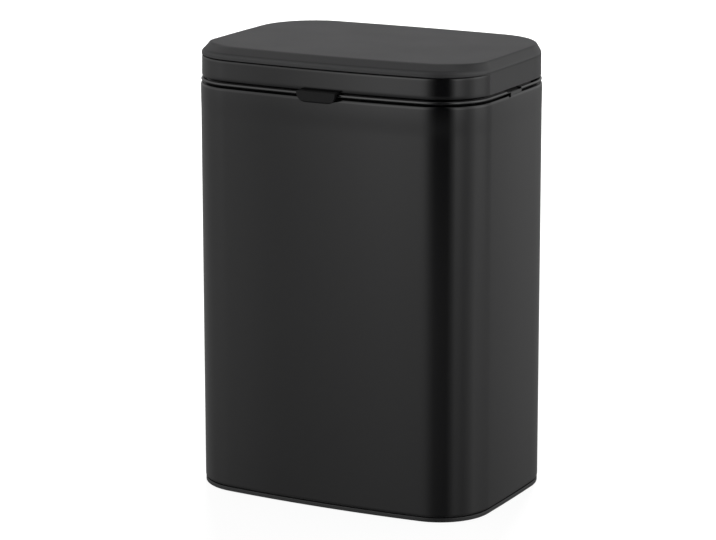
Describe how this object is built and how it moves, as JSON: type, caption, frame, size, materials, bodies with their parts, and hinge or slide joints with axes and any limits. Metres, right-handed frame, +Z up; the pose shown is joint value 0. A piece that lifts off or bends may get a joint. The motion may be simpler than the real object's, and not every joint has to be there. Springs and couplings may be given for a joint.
{
  "type": "wall-mounted trash can",
  "caption": "Black wall-mounted trash can: steel body with bowed front, soft-close hinged lid with finger tab, lift-out inner bucket with bail handle, and hook-on wall bracket.",
  "frame": {"origin": "centre of the wall bracket's four screw holes, on the wall face of the bracket", "axes": "+Z up, +Y into the wall, -Y the front of the bin with the finger tab, +X to the right of someone facing the front"},
  "size_m": [0.244, 0.1903, 0.3487],
  "materials": {
    "coated_steel": "satin black powder coat",
    "lid_plastic": "fine matte moulding, dark grey black",
    "rim_plastic": "satin black moulding",
    "base_plastic": "satin black moulding",
    "tab_plastic": "matte black moulding",
    "black_plastic": "matte black moulding",
    "bucket_plastic": "satin dark grey moulding",
    "damper_plastic": "natural acetal",
    "zinc_steel": "zinc plated sheet",
    "screw_steel": "bright zinc plated",
    "rubber": "matte black rubber"
  },
  "bodies": {
    "wall": {"wall_bracket": "zinc_steel"},
    "bin": {"body_shell": "coated_steel", "base_ring": "base_plastic", "bottom_plate": "zinc_steel", "rim_frame": "rim_plastic", "bucket_ring": "black_plastic", "lid_buffers": "rubber", "hinge_housing": "black_plastic", "housing_screws": "screw_steel", "hinge_pin": "screw_steel", "damper_body": "damper_plastic", "hanger_plate": "zinc_steel", "hanger_rivets": "screw_steel", "wall_bumpers": "rubber"},
    "lid": {"lid_shell": "lid_plastic", "lid_band": "coated_steel", "lid_liner": "black_plastic", "liner_screws": "screw_steel", "finger_tab": "tab_plastic", "tab_screws": "screw_steel", "hinge_bush": "damper_plastic", "damper_rotor": "damper_plastic"},
    "bucket": {"inner_bucket": "bucket_plastic"},
    "bail": {"bail_handle": "screw_steel", "bail_grip": "tab_plastic"}
  },
  "joints": [
    {"name": "bin_lift", "type": "slide", "parent": "wall", "child": "bin", "axis": [0, 0, 1], "range_m": [0, 0.018]},
    {"name": "lid_hinge", "type": "hinge", "parent": "bin", "child": "lid", "pos_m": [0, -0.0168, 0.085], "axis": [-1, 0, 0], "range_deg": [0, 85]},
    {"name": "bucket_lift", "type": "slide", "parent": "bin", "child": "bucket", "axis": [0, 0, 1], "range_m": [0, 0.014]},
    {"name": "handle_swing", "type": "hinge", "parent": "bucket", "child": "bail", "pos_m": [0, -0.1014, 0.0568], "axis": [-1, 0, 0], "range_deg": [0, 12]}
  ]
}
